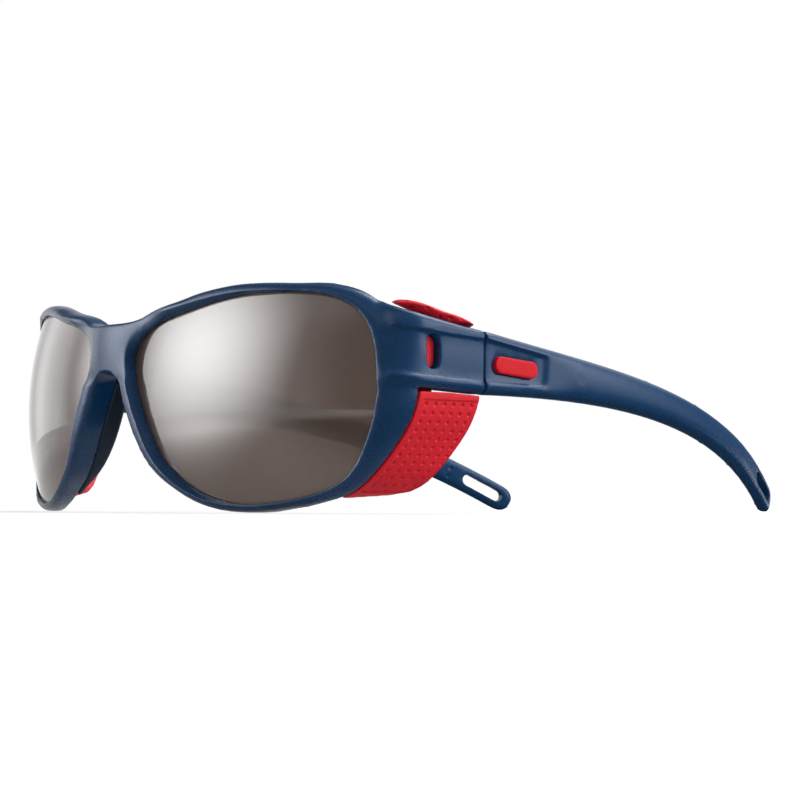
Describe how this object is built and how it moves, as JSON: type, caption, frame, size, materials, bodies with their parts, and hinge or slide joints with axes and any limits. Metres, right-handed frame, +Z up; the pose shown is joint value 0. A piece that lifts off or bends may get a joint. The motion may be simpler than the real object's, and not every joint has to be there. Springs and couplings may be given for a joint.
{
  "type": "glacier glasses",
  "caption": "Wraparound glacier glasses with brown mirrored lenses, removable red side shields, a satin navy frame, and folding temples that end in cord slots.",
  "frame": {"origin": "middle of the bounding box's lower face, on the floor that the rims and the temple tips stand on", "axes": "+Z up as worn, -Y the way the lenses face, +Y back along the temples, +X to the wearer's left"},
  "size_m": [0.1348, 0.1688, 0.0474],
  "materials": {
    "navy_plastic": "satin, fine grain",
    "brown_lens": "brown tint with a light mirror coat",
    "red_soft": "soft, matt, dimpled",
    "dark_soft": "soft, matt",
    "red_inlay": "smooth",
    "core_wire": "drawn wire",
    "hinge_steel": "brushed"
  },
  "bodies": {
    "front": {"front_frame": "navy_plastic", "left_lens": "brown_lens", "right_lens": "brown_lens", "left_nose_pad": "dark_soft", "right_nose_pad": "dark_soft", "left_front_leaf": "hinge_steel", "right_front_leaf": "hinge_steel", "left_hinge_screw": "hinge_steel", "right_hinge_screw": "hinge_steel", "left_front_rivets": "hinge_steel", "right_front_rivets": "hinge_steel"},
    "left_temple_arm": {"left_temple": "navy_plastic", "left_temple_inlay": "red_inlay", "left_temple_core": "core_wire", "left_temple_leaf": "hinge_steel", "left_temple_rivets": "hinge_steel"},
    "left_shield": {"left_side_shield": "red_soft"},
    "right_temple_arm": {"right_temple": "navy_plastic", "right_temple_inlay": "red_inlay", "right_temple_core": "core_wire", "right_temple_leaf": "hinge_steel", "right_temple_rivets": "hinge_steel"},
    "right_shield": {"right_side_shield": "red_soft"}
  },
  "joints": [
    {"name": "left_temple_fold", "type": "hinge", "parent": "front", "child": "left_temple_arm", "pos_m": [0.06134, -0.03517, 0.03127], "axis": [0, 0, 1], "range_deg": [0, 85]},
    {"name": "left_shield_unhook", "type": "slide", "parent": "front", "child": "left_shield", "axis": [-1, 0, 0], "range_m": [0, 0.004]},
    {"name": "right_temple_fold", "type": "hinge", "parent": "front", "child": "right_temple_arm", "pos_m": [-0.06134, -0.03517, 0.03127], "axis": [0, 0, -1], "range_deg": [0, 80]},
    {"name": "right_shield_unhook", "type": "slide", "parent": "front", "child": "right_shield", "axis": [1, 0, 0], "range_m": [0, 0.004]}
  ]
}
